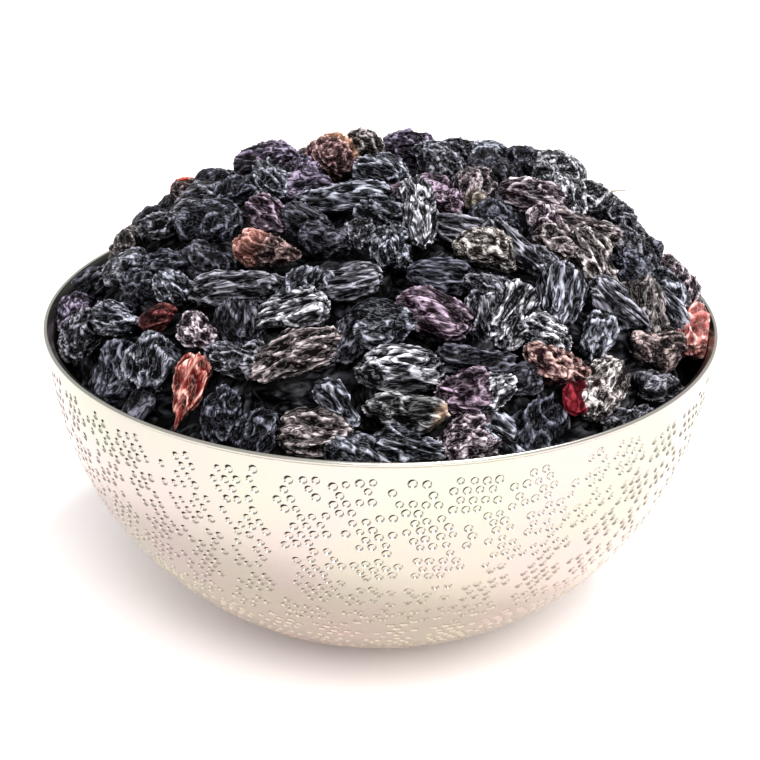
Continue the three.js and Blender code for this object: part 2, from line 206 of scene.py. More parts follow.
def bowl_mesh():
    """The punched outside as a triangulated polar map, joined to a turned bead and inside.

    A dot is a rim ring, a floor ring and a middle point. Its floor carries painted shade, darkest
    at the upper left: shade = 0.5 + 0.9 * sin(turn - lean), and less so on the right side of the
    bowl, where the light is stronger. The seam under the bead is painted dark all round as shade.
    """
    centre_reach, centre_azimuth = dot_centres()
    radius = np.interp(centre_reach, profile_reach, profile_radius)
    turn = np.arange(DOT_SIDES) * 2 * math.pi / DOT_SIDES
    size_rng = np.random.default_rng(19)
    size = DOT_RADIUS * (1 + DOT_RADIUS_SPREAD * size_rng.uniform(-1, 1, centre_reach.size))
    size = size[:, None]
    reaches, azimuths, sinks = [], [], []
    for share, sink in ((1.0, 0.0), (DOT_FLOOR, DOT_EDGE_SHARE * DOT_DEPTH)):
        reaches.append((centre_reach[:, None] + share * size * np.sin(turn)).ravel())
        azimuths.append((centre_azimuth[:, None]
                         + share * size * np.cos(turn) / radius[:, None]).ravel())
        sinks.append(np.full(reaches[-1].size, sink))
    reaches.append(centre_reach)
    azimuths.append(centre_azimuth)
    sinks.append(np.full(centre_reach.size, DOT_DEPTH))
    fill_reach, fill_azimuth = fill_points()
    reaches.append(fill_reach)
    azimuths.append(fill_azimuth)
    sinks.append(np.zeros(fill_reach.size))
    ring_azimuth = np.arange(AROUND_RIM) * 2 * math.pi / AROUND_RIM
    reaches.append(np.full(AROUND_RIM, rim_reach))
    azimuths.append(ring_azimuth)
    sinks.append(np.zeros(AROUND_RIM))
    reach, azimuth, sink = map(np.concatenate, (reaches, azimuths, sinks))

    flat = np.stack([reach * np.cos(azimuth), reach * np.sin(azimuth)], axis=-1) * 1000
    ring_edges = np.stack([np.arange(2 * centre_reach.size * DOT_SIDES)] * 2, axis=-1)
    ring_edges = ring_edges.reshape(-1, DOT_SIDES, 2)
    ring_edges[..., 1] = np.roll(ring_edges[..., 1], -1, axis=1)
    out = delaunay_2d_cdt(flat.tolist(), ring_edges.reshape(-1, 2).tolist(), [], 0, 1e-5)
    origin = np.array([ids[0] for ids in out[3]])
    outside = on_outside(reach[origin], azimuth[origin], sink[origin])
    outside_faces = [face[::-1] for face in out[2]]
    ring_start = np.empty(AROUND_RIM, dtype=int)
    on_ring = np.nonzero(origin >= reach.size - AROUND_RIM)[0]
    ring_start[origin[on_ring] - (reach.size - AROUND_RIM)] = on_ring

    bead = np.radians(np.linspace(*BEAD_ANGLES_DEG, BEAD_STEPS + 1))
    bead_r = rim_radius + BEAD_OVERHANG - BEAD_RADIUS + BEAD_RADIUS * np.cos(bead)
    bead_z = bowl_height - BEAD_RADIUS + BEAD_RADIUS * np.sin(bead)
    inner_z = wall_heights(WALL, bead_foot, INNER_STEPS)[::-1]
    ring_r = np.concatenate([bead_r, wall_radius(inner_z, WALL)])
    ring_z = np.concatenate([bead_z, inner_z])
    turned = np.stack([
        ring_r[:, None] * np.cos(ring_azimuth),
        ring_r[:, None] * np.sin(ring_azimuth),
        np.broadcast_to(ring_z[:, None], (ring_r.size, AROUND_RIM)),
    ], axis=-1)
    ids = len(outside) + np.arange(turned.shape[0] * AROUND_RIM).reshape(-1, AROUND_RIM)
    ids = np.vstack([ring_start, ids])
    after = np.roll(ids, -1, axis=1)
    quads = np.stack([ids[:-1], after[:-1], after[1:], ids[1:]], axis=-1).reshape(-1, 4)
    pole = len(outside) + turned.shape[0] * AROUND_RIM
    cap = np.stack([ids[-1], after[-1], np.full(AROUND_RIM, pole)], axis=-1)
    points = np.vstack([outside, turned.reshape(-1, 3), [[0, 0, WALL]]])

    mesh = bpy.data.meshes.new("bowl_punched")
    mesh.from_pydata(points.tolist(), [], outside_faces + quads.tolist() + cap.tolist())
    mesh.shade_smooth()
    dot = np.full(len(points), -1)
    on_dot = np.nonzero(origin < 2 * centre_reach.size * DOT_SIDES)[0]
    dot[on_dot] = origin[on_dot] // DOT_SIDES
    painted_shade = np.zeros(len(points))
    upper = np.zeros(reach.size)
    deep_ring = np.arange(centre_reach.size * DOT_SIDES, 2 * centre_reach.size * DOT_SIDES)
    # Painted shade in each dot's floor: a crescent at the upper left, fainter towards +X.
    lean = np.radians(DOT_LEAN_DEG[0] + DOT_LEAN_DEG[1] * np.cos(centre_azimuth))[:, None]
    shaded = np.clip(0.5 + 0.9 * np.sin(turn - lean), 0, 2)
    side_shade = DOT_SHADE[0] + DOT_SHADE[1] * np.cos(centre_azimuth)
    upper[deep_ring] = (shaded * side_shade[:, None]).ravel()
    painted_shade[:len(outside)] = upper[origin]
    # Painted shade on the seam ring under the bead.
    painted_shade[ring_start] = SEAM_SHADE
    mesh.attributes.new("painted_shade", "FLOAT", "POINT").data.foreach_set("value", painted_shade)
    ends = np.empty(2 * len(mesh.edges), dtype=np.int32)
    mesh.edges.foreach_get("vertices", ends)
    ends = ends.reshape(-1, 2)
    dot[ring_start] = len(points)
    sharp = (dot[ends[:, 0]] >= 0) & (dot[ends[:, 0]] == dot[ends[:, 1]])
    mesh.attributes.new("sharp_edge", "BOOLEAN", "EDGE").data.foreach_set("value", sharp)
    return mesh


def shader(name):
    """A new material with its nodes, its links and its Principled shader."""
    material = bpy.data.materials.new(name)
    material.use_nodes = True
    nodes = material.node_tree.nodes
    return material, nodes, material.node_tree.links, nodes["Principled BSDF"]


def bowl_metal():
    """Pale warm metal: satin, clouded with faint rose and straw tints and fine spinning lines.
    Painted shade makes it darker and warmer towards the foot and darkens the dots and the seam.
    """
    material, nodes, links, principled = shader("punched_metal")
    place = nodes.new("ShaderNodeTexCoord")
    clouds = nodes.new("ShaderNodeTexNoise")
    clouds.inputs["Scale"].default_value = 55
    clouds.inputs["Detail"].default_value = 3
    tint = nodes.new("ShaderNodeValToRGB")
    tint.color_ramp.elements[0].position = 0.36
    tint.color_ramp.elements[0].color = (1.0, 0.955, 0.975, 1)
    tint.color_ramp.elements[1].position = 0.64
    tint.color_ramp.elements[1].color = (0.965, 1.0, 0.93, 1)
    apart = nodes.new("ShaderNodeSeparateXYZ")
    rise = nodes.new("ShaderNodeMapRange")
    rise.inputs["From Min"].default_value = 0.012
    rise.inputs["From Max"].default_value = 0.055
    # Painted shade: the base colour is darker and warmer towards the foot.
    height_shade = nodes.new("ShaderNodeMix")
    height_shade.data_type = "RGBA"
    height_shade.inputs["A"].default_value = (0.515, 0.445, 0.385, 1)
    height_shade.inputs["B"].default_value = (0.570, 0.552, 0.522, 1)
    tinted = nodes.new("ShaderNodeMix")
    tinted.data_type = "RGBA"
    tinted.blend_type = "MULTIPLY"
    tinted.inputs["Factor"].default_value = 1.0
    lines = nodes.new("ShaderNodeTexNoise")
    lines.inputs["Scale"].default_value = 900
    lines.inputs["Detail"].default_value = 4
    stretch = nodes.new("ShaderNodeMapping")
    stretch.inputs["Scale"].default_value = (0.06, 0.06, 1)
    bump = nodes.new("ShaderNodeBump")
    bump.inputs["Strength"].default_value = 0.12
    bump.inputs["Distance"].default_value = 0.0001
    # Painted shade: a near-black colour mixed into the dots' crescents and the seam under the bead.
    shade_attribute = nodes.new("ShaderNodeAttribute")
    shade_attribute.attribute_name = "painted_shade"
    shade_amount = nodes.new("ShaderNodeMapRange")
    shade_amount.interpolation_type = "SMOOTHSTEP"
    shade_amount.inputs["From Min"].default_value = 0.5
    shade_amount.inputs["From Max"].default_value = 0.8
    shade_mix = nodes.new("ShaderNodeMix")
    shade_mix.data_type = "RGBA"
    shade_mix.inputs["B"].default_value = (0.045, 0.039, 0.037, 1)
    principled.inputs["Metallic"].default_value = 1
    principled.inputs["Roughness"].default_value = 0.28
    links.new(place.outputs["Object"], clouds.inputs["Vector"])
    links.new(place.outputs["Object"], stretch.inputs["Vector"])
    links.new(stretch.outputs["Vector"], lines.inputs["Vector"])
    links.new(clouds.outputs["Fac"], tint.inputs["Fac"])
    links.new(shade_attribute.outputs["Fac"], shade_amount.inputs["Value"])
    links.new(shade_amount.outputs["Result"], shade_mix.inputs["Factor"])
    links.new(place.outputs["Object"], apart.inputs["Vector"])
    links.new(apart.outputs["Z"], rise.inputs["Value"])
    links.new(rise.outputs["Result"], height_shade.inputs["Factor"])
    links.new(height_shade.outputs["Result"], tinted.inputs["A"])
    links.new(tint.outputs["Color"], tinted.inputs["B"])
    links.new(tinted.outputs["Result"], shade_mix.inputs["A"])
    links.new(shade_mix.outputs["Result"], principled.inputs["Base Color"])
    links.new(lines.outputs["Fac"], bump.inputs["Height"])
    links.new(bump.outputs["Normal"], principled.inputs["Normal"])
    return material


def new_piece(name, mesh, material, material_slot, *nodes):
    """Puts a finished mesh into the scene on the one body, in place of the named CAD nodes."""
    mesh.materials.append(material)
    piece = bpy.data.objects.new(name, mesh)
    bpy.context.collection.objects.link(piece)
    if nodes:
        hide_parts(*nodes)
    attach(piece, "root")


new_piece("bowl_punched", bowl_mesh(), bowl_metal(), "punched_metal", "bowl")


# The black raisins of the outer layer
# Dried grapes with a thin skin that has shrunk into ridges from tip to tip. They lie loose, one
# on another, just under the skin of a broad dome whose crown is a little right of the middle.
CROWN_X = 0.005
CROWN_HEIGHT = 0.024
EDGE_HEIGHT = 0.0005
EDGE_TILT = 0.0035
EDGE_SLANT = 0.001
EDGE_RADIUS = 0.062
SHOULDER = 4
FLANK = 1.25
SLOPE_STEP = 0.003

THINNESS = 0.82
TAPER_SLIMMING = 0.4
BLUNTNESS = 0.88
PLUMPNESS = 0.97
OVAL_SWELL = 0.1
LOBE_SWELL = 0.07
SWELL_WINDING = 2
WALL_GAP = 0.0003
UPPER_SHARE = 0.4
MEANDER = 1.1
FINE_RIDGES = 2.1
DENT_SIZE = 0.0065
BEND = 0.0012
END_RAGGEDNESS = 1.2
END_BLEND = 0.3
NO_END = 9
SHOWN_NET = (64, 42)
FAR_NET = (34, 24)

SPIRAL_COUNT = 230
SPIRAL_REACH = 0.061
SPIRAL_WOBBLE = 0.003
SPIRAL_SPACING = 0.72
GOLDEN_ANGLE = math.pi * (3 - math.sqrt(5))
FAR_LENGTHS = (0.011, 0.015)
FAR_WIDTHS = (0.008, 0.010)
FAR_RISES = (-0.001, 0.0005)
FAR_TAPER = 0.12
FAR_LOOKS = ("black", "ink", "grey", "slate", "violet", "plum", "brown")
FAR_WRINKLES = ("ridged", "striped", "crinkled", "folded", "smooth")

# A look is the skin's colour in the valleys, its colour on the ridges, and, where one end differs,
# that end's colour and how far along it starts, from -1 at the tail to 1 at the head. The ridge
# colour is the skin's pale bloom, made brighter as painted highlight.
LOOKS = {
    "black": ((0.0024, 0.0024, 0.0042), (0.26, 0.255, 0.305)),
    "ink": ((0.0024, 0.0028, 0.0050), (0.30, 0.305, 0.37)),
    "grey": ((0.0034, 0.0034, 0.0054), (0.51, 0.50, 0.565)),
    "slate": ((0.0034, 0.0040, 0.0066), (0.60, 0.615, 0.70)),
    "silver": ((0.0060, 0.0060, 0.0082), (0.90, 0.89, 0.96)),
    "violet": ((0.0062, 0.0032, 0.0080), (0.49, 0.42, 0.55)),
    "plum": ((0.0130, 0.0036, 0.0080), (0.65, 0.52, 0.64)),
    "brown": ((0.0084, 0.0046, 0.0046), (0.54, 0.49, 0.49)),
    "umber": ((0.0120, 0.0054, 0.0060), (0.73, 0.65, 0.66)),
    "mauve": ((0.0160, 0.0062, 0.0098), (0.83, 0.73, 0.80)),
    "pale": ((0.0300, 0.0180, 0.0170), (0.94, 0.89, 0.88)),
    "tan_tip": ((0.0044, 0.0040, 0.0046), (0.58, 0.57, 0.59), (0.88, 0.74, 0.64), 0.8),
    "straw_spot": ((0.0096, 0.0060, 0.0066), (0.64, 0.55, 0.58), (0.94, 0.86, 0.76), 0.9),
    "rosy_spot": ((0.0300, 0.0180, 0.0170), (0.94, 0.89, 0.85), (0.86, 0.50, 0.42), 0.75),
}

# How the skin has shrunk: ridge spacing across, stretch along, ridge height and fold depth.
WRINKLES = {
    "ridged": (0.0017, 0.30, 0.0012, 0.0010),
    "striped": (0.0015, 0.20, 0.0011, 0.0006),
    "crinkled": (0.0018, 0.62, 0.0011, 0.0012),
    "folded": (0.0022, 0.42, 0.0014, 0.0017),
    "smooth": (0.0026, 0.50, 0.0007, 0.0010),
}

# Rows of x, y, length, width (mm), heading in degrees from +X, rise (mm), taper towards the
# heading, look and wrinkles.
CROWN_RAISINS = [
    (-24, 26, 18, 9, -45, 1.8, 0.2, "violet", "striped"),
    (-22, 11, 14, 10, -70, 0.5, 0.1, "slate", "folded"),
    (-21, -6, 12, 8, -45, 0, 0.25, "plum", "ridged"),
    (-4, 27, 8, 6.5, -20, 1.5, 0.1, "brown", "crinkled"),
    (0, 14, 13, 8, -45, 0, 0.15, "slate", "striped"),
    (5, 31, 10, 8.5, 0, 1.2, 0, "violet", "folded"),
    (12, 19, 11, 10, -40, -0.3, 0, "grey", "crinkled"),
    (10, 30, 9, 7, 10, 0, 0, "slate", "crinkled"),
    (22, 30, 11, 8, 10, 0.3, 0, "slate", "smooth"),
    (18, 5, 12, 8, -105, 0, -0.1, "straw_spot", "crinkled"),
    (12, -2, 7, 6, 30, -0.5, 0, "plum", "crinkled"),
    (28, 0, 14, 7, 175, 0, 0.25, "mauve", "ridged"),
    (35.5, 18, 15, 11.5, 110, 4, 0, "silver", "smooth"),
    (-7, -2, 18, 6.5, 10, 0.5, -0.2, "slate", "striped"),
    (-10, -18, 10, 8, -25, 0, 0, "black", "smooth"),
    (-4, -18, 8, 6, 85, 0, 0, "grey", "crinkled"),
    (2, -22, 11, 8, 85, 0, 0.1, "slate", "crinkled"),
    (7, -16, 19, 6, -90, 1, 0.35, "silver", "striped"),
    (14, -15, 11, 7, -20, -0.5, 0.1, "grey", "striped"),
    (-14, -11, 12, 7, -50, 0, 0.1, "black", "striped"),
    (29, 23, 10, 7.5, 70, 2, 0, "black", "smooth"),
    (16, 31, 9, 7, 0, -0.5, 0, "grey", "crinkled"),
    (6.5, -4, 12, 6, -88, 1.5, -0.1, "silver", "striped"),
]

LEFT_RAISINS = [
    (-35, 20, 8, 6.5, 30, 1, 0, "black", "smooth"),
    (-29, 6, 8, 6.5, 60, 0, 0, "ink", "ridged"),
    (-49, 17, 11, 6.5, -30, 1.5, 0.2, "black", "striped"),
    (-44, 5, 10, 7.5, -40, 0.5, 0.1, "grey", "ridged"),
    (-52, 13, 9, 6.5, -40, 1, 0.1, "brown", "smooth"),
    (-34, -3, 13, 11, -40, 0.5, 0, "ink", "smooth"),
    (-50, -4, 13, 7.5, -30, 0, -0.15, "slate", "smooth"),
    (-58, 5, 10, 7, 0, 0, 0, "black", "ridged"),
    (-40, -14, 11, 8, -30, -1, 0.1, "ink", "ridged"),
    (-45, -16, 12, 7, -40, -1, 0.1, "ink", "crinkled"),
    (-25, -30, 19, 7, -10, 0, 0.25, "grey", "striped"),
    (-50, -20, 14, 7, -35, 0, 0.3, "slate", "ridged"),
    (-57, -15, 10, 9, 55, -0.5, 0, "grey", "crinkled"),
    (-32, -36, 8, 6, -60, 0, 0.15, "mauve", "crinkled"),
    (-24, -37, 9, 8, 85, -0.5, 0, "black", "ridged"),
    (-41, -36, 11.5, 9.5, 65, 0.5, 0.1, "slate", "folded"),
    (-48, -32, 10, 8, 55, -0.5, 0.15, "ink", "folded"),
    (-43, -42, 9, 5.5, 45, -1, 0.2, "black", "smooth"),
    (-24, -43, 12, 6, -20, -0.5, 0.1, "grey", "crinkled"),
    (-27, -50, 10, 7, 75, 0, 0.1, "ink", "crinkled"),
    (-20, -54, 8.5, 6, 60, -0.5, 0.1, "ink", "crinkled"),
    (-32, -18, 14, 7, -45, -1, 0, "black", "smooth"),
    (-38, -24, 8, 6, -60, 0, 0.3, "slate", "ridged"),
]

FRONT_RAISINS = [
    (-14, -32, 10, 8, 60, 0, -0.2, "slate", "folded"),
    (-16, -39, 13, 6.5, 10, 0.5, -0.35, "silver", "ridged"),
    (-14, -46, 17.5, 8, 20, 0.5, -0.3, "umber", "ridged"),
    (-7, -32, 13, 7, 8, -0.5, 0, "grey", "striped"),
    (0, -42, 11, 8, 0, 0, 0.1, "slate", "smooth"),
    (3.5, -49, 15, 8, 3, 0, -0.1, "silver", "striped"),
    (-7, -53, 9, 4.5, -60, -0.5, 0.3, "slate", "striped"),
    (4, -54, 13, 6, 0, -0.5, -0.25, "tan_tip", "ridged"),
    (5, -58, 11.5, 6.5, -12, -0.5, 0.25, "slate", "ridged"),
    (-11, -56, 13, 8, -8, 0, 0.1, "umber", "folded"),
    (14, -51, 9.5, 7.5, 5, 0, 0, "plum", "folded"),
    (19, -50, 7.5, 6.5, 45, 0, 0, "silver", "crinkled"),
    (16, -46, 13, 6, 5, -1, 0.1, "black", "ridged"),
    (15, -56, 12, 8.5, 30, 0, 0, "mauve", "crinkled"),
    (8.5, -40, 14, 8.5, -14, 0, -0.2, "plum", "ridged"),
    (19, -22, 12, 8, -30, 0, 0.1, "rosy_spot", "crinkled"),
    (10, -30, 11, 7, -5, -1, 0, "ink", "striped"),
    (18, -33, 9, 7, -30, -0.5, 0.1, "grey", "crinkled"),
    (17.5, -39, 9, 6.5, -80, -0.5, 0.1, "grey", "ridged"),
    (22, -38, 13, 9.5, 75, 0.5, 0, "silver", "ridged"),
    (-6, -44, 8, 5.5, 65, -1, 0, "black", "ridged"),
]

RIGHT_RAISINS = [
    (24, -21, 15, 5.5, -57, 0, 0.2, "grey", "striped"),
    (29, -24, 7, 5.5, -30, -0.5, 0, "grey", "crinkled"),
    (31, -11, 11, 6, -75, 0, 0.15, "mauve", "crinkled"),
    (42, 11, 9, 7, 60, 1.5, 0, "silver", "smooth"),
    (48, 12, 8, 6.5, 40, 1, 0, "grey", "crinkled"),
    (38, -8, 15, 7, 15, 0, 0.1, "umber", "ridged"),
    (39, -18, 13, 6.5, -40, 0, 0.25, "pale", "folded"),
    (32, -31, 16, 8, 93, 0.5, -0.1, "slate", "striped"),
    (38, -34, 10.5, 5.5, 93, -0.5, -0.2, "slate", "folded"),
    (43, -26, 14, 7, -20, 0, 0.15, "grey", "striped"),
    (54, 7, 9, 7, 50, 1, 0, "black", "smooth"),
    (59, 6, 9, 7, 80, 2.5, 0, "mauve", "smooth"),
    (48, -11, 10, 7.5, 10, 0, 0.1, "ink", "crinkled"),
    (56, -7, 10.5, 8, -50, 1, 0, "slate", "smooth"),
    (38.5, -42, 12.5, 9, 85, 0, 0, "pale", "crinkled"),
    (50, -34, 11, 5.5, 25, -0.5, 0.1, "grey", "folded"),
    (43, -43, 12, 6, 25, -1, 0, "grey", "crinkled"),
    (27, -51, 11, 7, 95, -0.5, 0.15, "ink", "folded"),
    (24, -47, 8, 6, 35, -1, 0, "black", "smooth"),
    (22, -55, 10, 6, -35, -0.5, 0.15, "slate", "ridged"),
    (28, -40, 9, 6, 0, 0, 0, "silver", "crinkled"),
    (32, -16, 9, 6, -30, -0.5, 0.1, "umber", "crinkled"),
    (36, 1.5, 13, 6, 100, 1.5, 0, "silver", "folded"),
    (60, -3, 8, 6.5, 95, 3.5, 0, "mauve", "ridged"),
]


def chance(index, use):
    """A repeatable number from 0 to 1: the fraction part of a large multiple of a sine."""
    value = np.sin(index * 12.9898 + use * 78.233) * 43758.5453
    return value - np.floor(value)


def heap_ratio(x, y):
    """0 at the crown and 1 at the edge, on circles whose middle slides towards the crown."""
    from_crown = x - CROWN_X
    square = EDGE_RADIUS ** 2 - CROWN_X ** 2
    slant = 2 * from_crown * CROWN_X
    apart = from_crown ** 2 + y ** 2
    return np.minimum(1, (slant + np.sqrt(slant ** 2 + 4 * square * apart)) / (2 * square))


def heap_top(x, y):
    """The dome's height: edge + crown * (1 - ratio ^ shoulder) ^ flank."""
    edge = bowl_height + EDGE_HEIGHT + (EDGE_TILT * y + EDGE_SLANT * x) / EDGE_RADIUS
    return edge + CROWN_HEIGHT * (1 - heap_ratio(x, y) ** SHOULDER) ** FLANK


def heap_normal(x, y):
    """The dome's upright, from its slopes over a few millimetres each way."""
    slope_x = (heap_top(x + SLOPE_STEP, y) - heap_top(x - SLOPE_STEP, y)) / (2 * SLOPE_STEP)
    slope_y = (heap_top(x, y + SLOPE_STEP) - heap_top(x, y - SLOPE_STEP)) / (2 * SLOPE_STEP)
    normal = np.stack([-slope_x, -slope_y, np.ones_like(x)], axis=-1)
    return normal / np.linalg.norm(normal, axis=-1, keepdims=True)


def inside_wall(points):
    """Presses points that would pass the wall back to it, by scaling their distance from the axis."""
    height = np.minimum(points[..., 2], bowl_height)
    room = wall_radius(height, WALL) - WALL_GAP
    reach = np.hypot(points[..., 0], points[..., 1])
    share = np.minimum(1, room / np.maximum(reach, 1e-9))
    return points * np.stack([share, share, np.ones_like(share)], axis=-1)


noise_rng = np.random.default_rng(11)
NOISE_SIZE = 1024
NOISE_KEYS = (73856093, 19349663, 83492791)
NOISE_ARROWS = noise_rng.normal(size=(NOISE_SIZE, 3))
NOISE_ARROWS /= np.linalg.norm(NOISE_ARROWS, axis=1, keepdims=True)


def noise(points):
    """Gradient noise: each lattice corner's arrow dotted with the way to it, blended smoothly."""
    cell = np.floor(points).astype(np.int64)
    within = points - cell
    blend = within ** 3 * (within * (within * 6 - 15) + 10)
    total = np.zeros(points.shape[:-1])
    for corner in np.ndindex(2, 2, 2):
        key = (cell + corner) @ np.array(NOISE_KEYS)
        arrow = NOISE_ARROWS[key % NOISE_SIZE]
        weight = np.prod(np.where(corner, blend, 1 - blend), axis=-1)
        total += weight * np.sum(arrow * (within - corner), axis=-1)
    return total


def crests(points):
    """Narrow ridges where the noise crosses zero: (1 - |noise| * 2.6, at least 0) ^ 2."""
    return np.clip(1 - 2.6 * np.abs(noise(points)), 0, 1) ** 2


def raisin_skins(places, looks, wrinkles, index, around, along):
    """Wrinkled eggs: spread = sin ^ bluntness * two swellings * taper, with noise ridges raised.

    The points of a ring crowd on the upper side: turn + share * cos(turn). Returns points, ridge
    heights, valley and ridge colours, and places for the fine creases, each raisin by ring by
    turn.
    """
    x, y, length, width, heading, rise, taper = (
        places[:, k][:, None, None] for k in range(7))
    thickness = THINNESS * width
    normal = heap_normal(x[:, 0, 0], y[:, 0, 0])
    turn = np.radians(heading[:, 0, 0])
    lie = np.stack([np.cos(turn), np.sin(turn), np.zeros_like(turn)], axis=-1)
    lie -= normal * np.sum(lie * normal, axis=-1, keepdims=True)
    lie /= np.linalg.norm(lie, axis=-1, keepdims=True)
    across = np.cross(lie, normal)
    centre = np.stack([x[:, 0, 0], y[:, 0, 0], heap_top(x, y)[:, 0, 0] + rise[:, 0, 0]], axis=-1)
    centre -= normal * thickness[:, 0] / 2

    share = np.linspace(0, math.pi, along + 1)[None, :, None]
    tip = np.cos(share)
    girth = np.sin(share)
    round_angle = (np.arange(around) * 2 * math.pi / around)[None, None, :]
    round_angle = round_angle + UPPER_SHARE * np.cos(round_angle)
    seed = index[:, None, None]
    winding = SWELL_WINDING * tip
    swell = (1 + OVAL_SWELL * np.cos(2 * round_angle + 2 * math.pi * chance(seed, 1) + winding)
             + LOBE_SWELL * np.cos(3 * round_angle + 2 * math.pi * chance(seed, 2) - winding))
    narrowing = (1 - taper * tip) / (1 + TAPER_SLIMMING * taper ** 2)
    spread = PLUMPNESS * girth ** BLUNTNESS * swell * narrowing
    side = np.cos(round_angle) * spread * width / 2
    lift = np.sin(round_angle) * spread * thickness / 2
    reach = tip * length / 2 + 0 * side

    spacing, stretch, depth, fold = (
        np.array([WRINKLES[name][k] for name in wrinkles])[:, None, None] for k in range(4))
    offset = 40 * np.stack([chance(seed, 11), chance(seed, 12), chance(seed, 13)], axis=-1)
    local = np.stack([side, lift, reach * stretch], axis=-1) / spacing[..., None] + offset
    meander = np.stack([noise(0.45 * local + 5), noise(0.45 * local + 17), 0 * side], axis=-1)
    local = local + MEANDER * meander
    ridge = 0.7 * crests(local) + 0.3 * crests(FINE_RIDGES * local + 9)
    broad = np.stack([side, lift, reach * 0.8], axis=-1) / DENT_SIZE + offset
    dent = noise(broad)
    outward = np.stack([side / width ** 2, lift / thickness ** 2, reach / length ** 2], axis=-1)
    outward /= np.linalg.norm(outward, axis=-1, keepdims=True)
    push = depth * (ridge - 0.45) + 2 * fold * dent
    side = side + push * outward[..., 0]
    lift = lift + push * outward[..., 1]
    reach = reach + push * outward[..., 2]
    bend = BEND * (chance(seed, 14) - 0.5) * 2
    lift = lift + bend * (0.4 - tip ** 2)

    points = (centre[:, None, None] + lie[:, None, None] * reach[..., None]
              + across[:, None, None] * side[..., None] + normal[:, None, None] * lift[..., None])
    points = inside_wall(points)

    skin = np.array([LOOKS[name][0] for name in looks])[:, None, None]
    # The ridge colour: the skin's pale bloom, brightened as painted highlight.
    bloom_and_highlight = np.array([LOOKS[name][1] for name in looks])[:, None, None]
    ends = [LOOKS[name][2:] or (LOOKS[name][1], NO_END) for name in looks]
    end = np.array([colour for colour, start in ends])[:, None, None]
    end_start = np.array([start for colour, start in ends])[:, None, None]
    along_skin = tip + END_RAGGEDNESS * dent
    toward_end = np.clip((along_skin - end_start) / END_BLEND, 0, 1)[..., None]
    skin = skin * (1 - toward_end) + 0.3 * end ** 2 * toward_end
    bloom_and_highlight = bloom_and_highlight * (1 - toward_end) + end * toward_end
    grain = np.stack([side, lift, reach * stretch], axis=-1) + 0.1 * offset
    return points, ridge, skin, bloom_and_highlight, grain


def raisin_mesh(name, skins):
    """One mesh of many raisins: rings of quads between two tips, the same net for each raisin."""
    points, ridge, skin, bloom_and_highlight, grain = skins
    count, rings, around = ridge.shape

    def with_tips(values):
        """Each tip's ring becomes the one point that it has shrunk to."""
        flat = values[:, 1:-1].reshape(count, -1, values.shape[-1])
        tips = np.stack([values[:, 0].mean(axis=1), values[:, -1].mean(axis=1)], axis=1)
        return np.concatenate([flat, tips], axis=1).reshape(-1, values.shape[-1])

    inner = rings - 2
    ids = np.arange(inner * around).reshape(inner, around)
    after = np.roll(ids, -1, axis=1)
    quads = np.stack([ids[:-1], ids[1:], after[1:], after[:-1]], axis=-1).reshape(-1, 4)
    first, last = inner * around, inner * around + 1
    start = np.stack([np.full(around, first), ids[0], after[0]], axis=-1)
    finish = np.stack([np.full(around, last), after[-1], ids[-1]], axis=-1)
    step = inner * around + 2
    base = (np.arange(count) * step)[:, None, None]
    faces = (quads[None] + base).reshape(-1, 4).tolist()
    faces += (np.vstack([start, finish])[None] + base).reshape(-1, 3).tolist()
    mesh = bpy.data.meshes.new(name)
    mesh.from_pydata(with_tips(points).tolist(), [], faces)
    mesh.shade_smooth()
    opaque = np.ones_like(ridge)[..., None]
    for label, colour in (("valley_colour", skin), ("ridge_colour", bloom_and_highlight)):
        values = with_tips(np.concatenate([colour * opaque, opaque], axis=-1))
        mesh.attributes.new(label, "FLOAT_COLOR", "POINT").data.foreach_set(
            "color", values.astype(np.float32).ravel())
    mesh.attributes.new("ridge", "FLOAT", "POINT").data.foreach_set(
        "value", with_tips(ridge[..., None]).astype(np.float32).ravel())
    mesh.attributes.new("grain", "FLOAT_VECTOR", "POINT").data.foreach_set(
        "vector", with_tips(grain).astype(np.float32).ravel())
    return mesh


